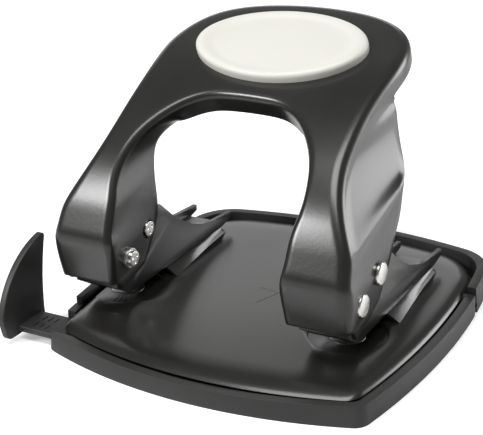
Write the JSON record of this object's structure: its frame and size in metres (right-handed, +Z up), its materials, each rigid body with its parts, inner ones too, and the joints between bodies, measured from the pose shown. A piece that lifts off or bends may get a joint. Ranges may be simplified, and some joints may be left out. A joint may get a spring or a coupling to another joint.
{
  "type": "two-hole paper punch",
  "caption": "Lever-operated two-hole paper punch with an arched handle, a side paper gauge and a chip tray under a dished base.",
  "frame": {"origin": "on the table under the middle of the line between the two punched holes, at the underside of the chip tray", "axes": "+X to the right along the line of the punches, +Y to the rear of the punch, +Z up from the table"},
  "size_m": [0.1281, 0.118, 0.0892],
  "materials": {
    "black_enamel": "satin gloss enamel on pressed steel",
    "grey_plastic": "fine matt moulding",
    "white_plastic": "satin off-white moulding",
    "nickel": "bright nickel plate",
    "steel": "ground tool steel",
    "zinc": "bright zinc plate"
  },
  "bodies": {
    "base": {"base_plate": "black_enamel", "left_bracket": "black_enamel", "left_rivet_front": "nickel", "left_rivet_rear": "nickel", "left_pivot_pin": "nickel", "left_pivot_sleeve": "zinc", "left_guide_bush": "steel", "left_spring": "zinc", "left_die": "steel", "right_bracket": "black_enamel", "right_rivet_front": "nickel", "right_rivet_rear": "nickel", "right_pivot_pin": "nickel", "right_pivot_sleeve": "zinc", "right_guide_bush": "steel", "right_spring": "zinc", "right_die": "steel", "gauge_guide": "grey_plastic", "rear_shell": "grey_plastic", "left_tray_rod": "zinc", "right_tray_rod": "zinc", "left_shell_screw": "zinc", "right_shell_screw": "zinc"},
    "lever": {"handle": "black_enamel", "handle_pad": "white_plastic"},
    "left_ram": {"left_punch": "steel", "left_drive_pin": "nickel"},
    "right_ram": {"right_punch": "steel", "right_drive_pin": "nickel"},
    "gauge": {"paper_gauge": "grey_plastic"},
    "tray": {"chip_tray": "grey_plastic"}
  },
  "joints": [
    {"name": "handle_hinge", "type": "hinge", "parent": "base", "child": "lever", "pos_m": [0, -0.0124, 0.0253], "axis": [-1, 0, 0], "range_deg": [0, 35], "stiffness_Nm_per_rad": 0.3, "springref_deg": -20.05},
    {"name": "left_punch_slide", "type": "slide", "parent": "base", "child": "left_ram", "axis": [0, 0, -1], "range_m": [0, 0.008], "stiffness_N_per_m": 400, "springref_m": -0.004, "deforming": ["left_spring"]},
    {"name": "right_punch_slide", "type": "slide", "parent": "base", "child": "right_ram", "axis": [0, 0, -1], "range_m": [0, 0.008], "stiffness_N_per_m": 400, "springref_m": -0.004, "deforming": ["right_spring"]},
    {"name": "gauge_slide", "type": "slide", "parent": "base", "child": "gauge", "axis": [-1, 0, 0], "range_m": [-0.005, 0.07]},
    {"name": "tray_hinge", "type": "hinge", "parent": "base", "child": "tray", "pos_m": [0, 0.042, 0.0024], "axis": [1, 0, 0], "range_deg": [0, 50]}
  ],
  "couplings": [
    {"joint": "left_punch_slide", "follows": "handle_hinge", "m_per_rad": 0.013096},
    {"joint": "right_punch_slide", "follows": "handle_hinge", "m_per_rad": 0.013096}
  ]
}
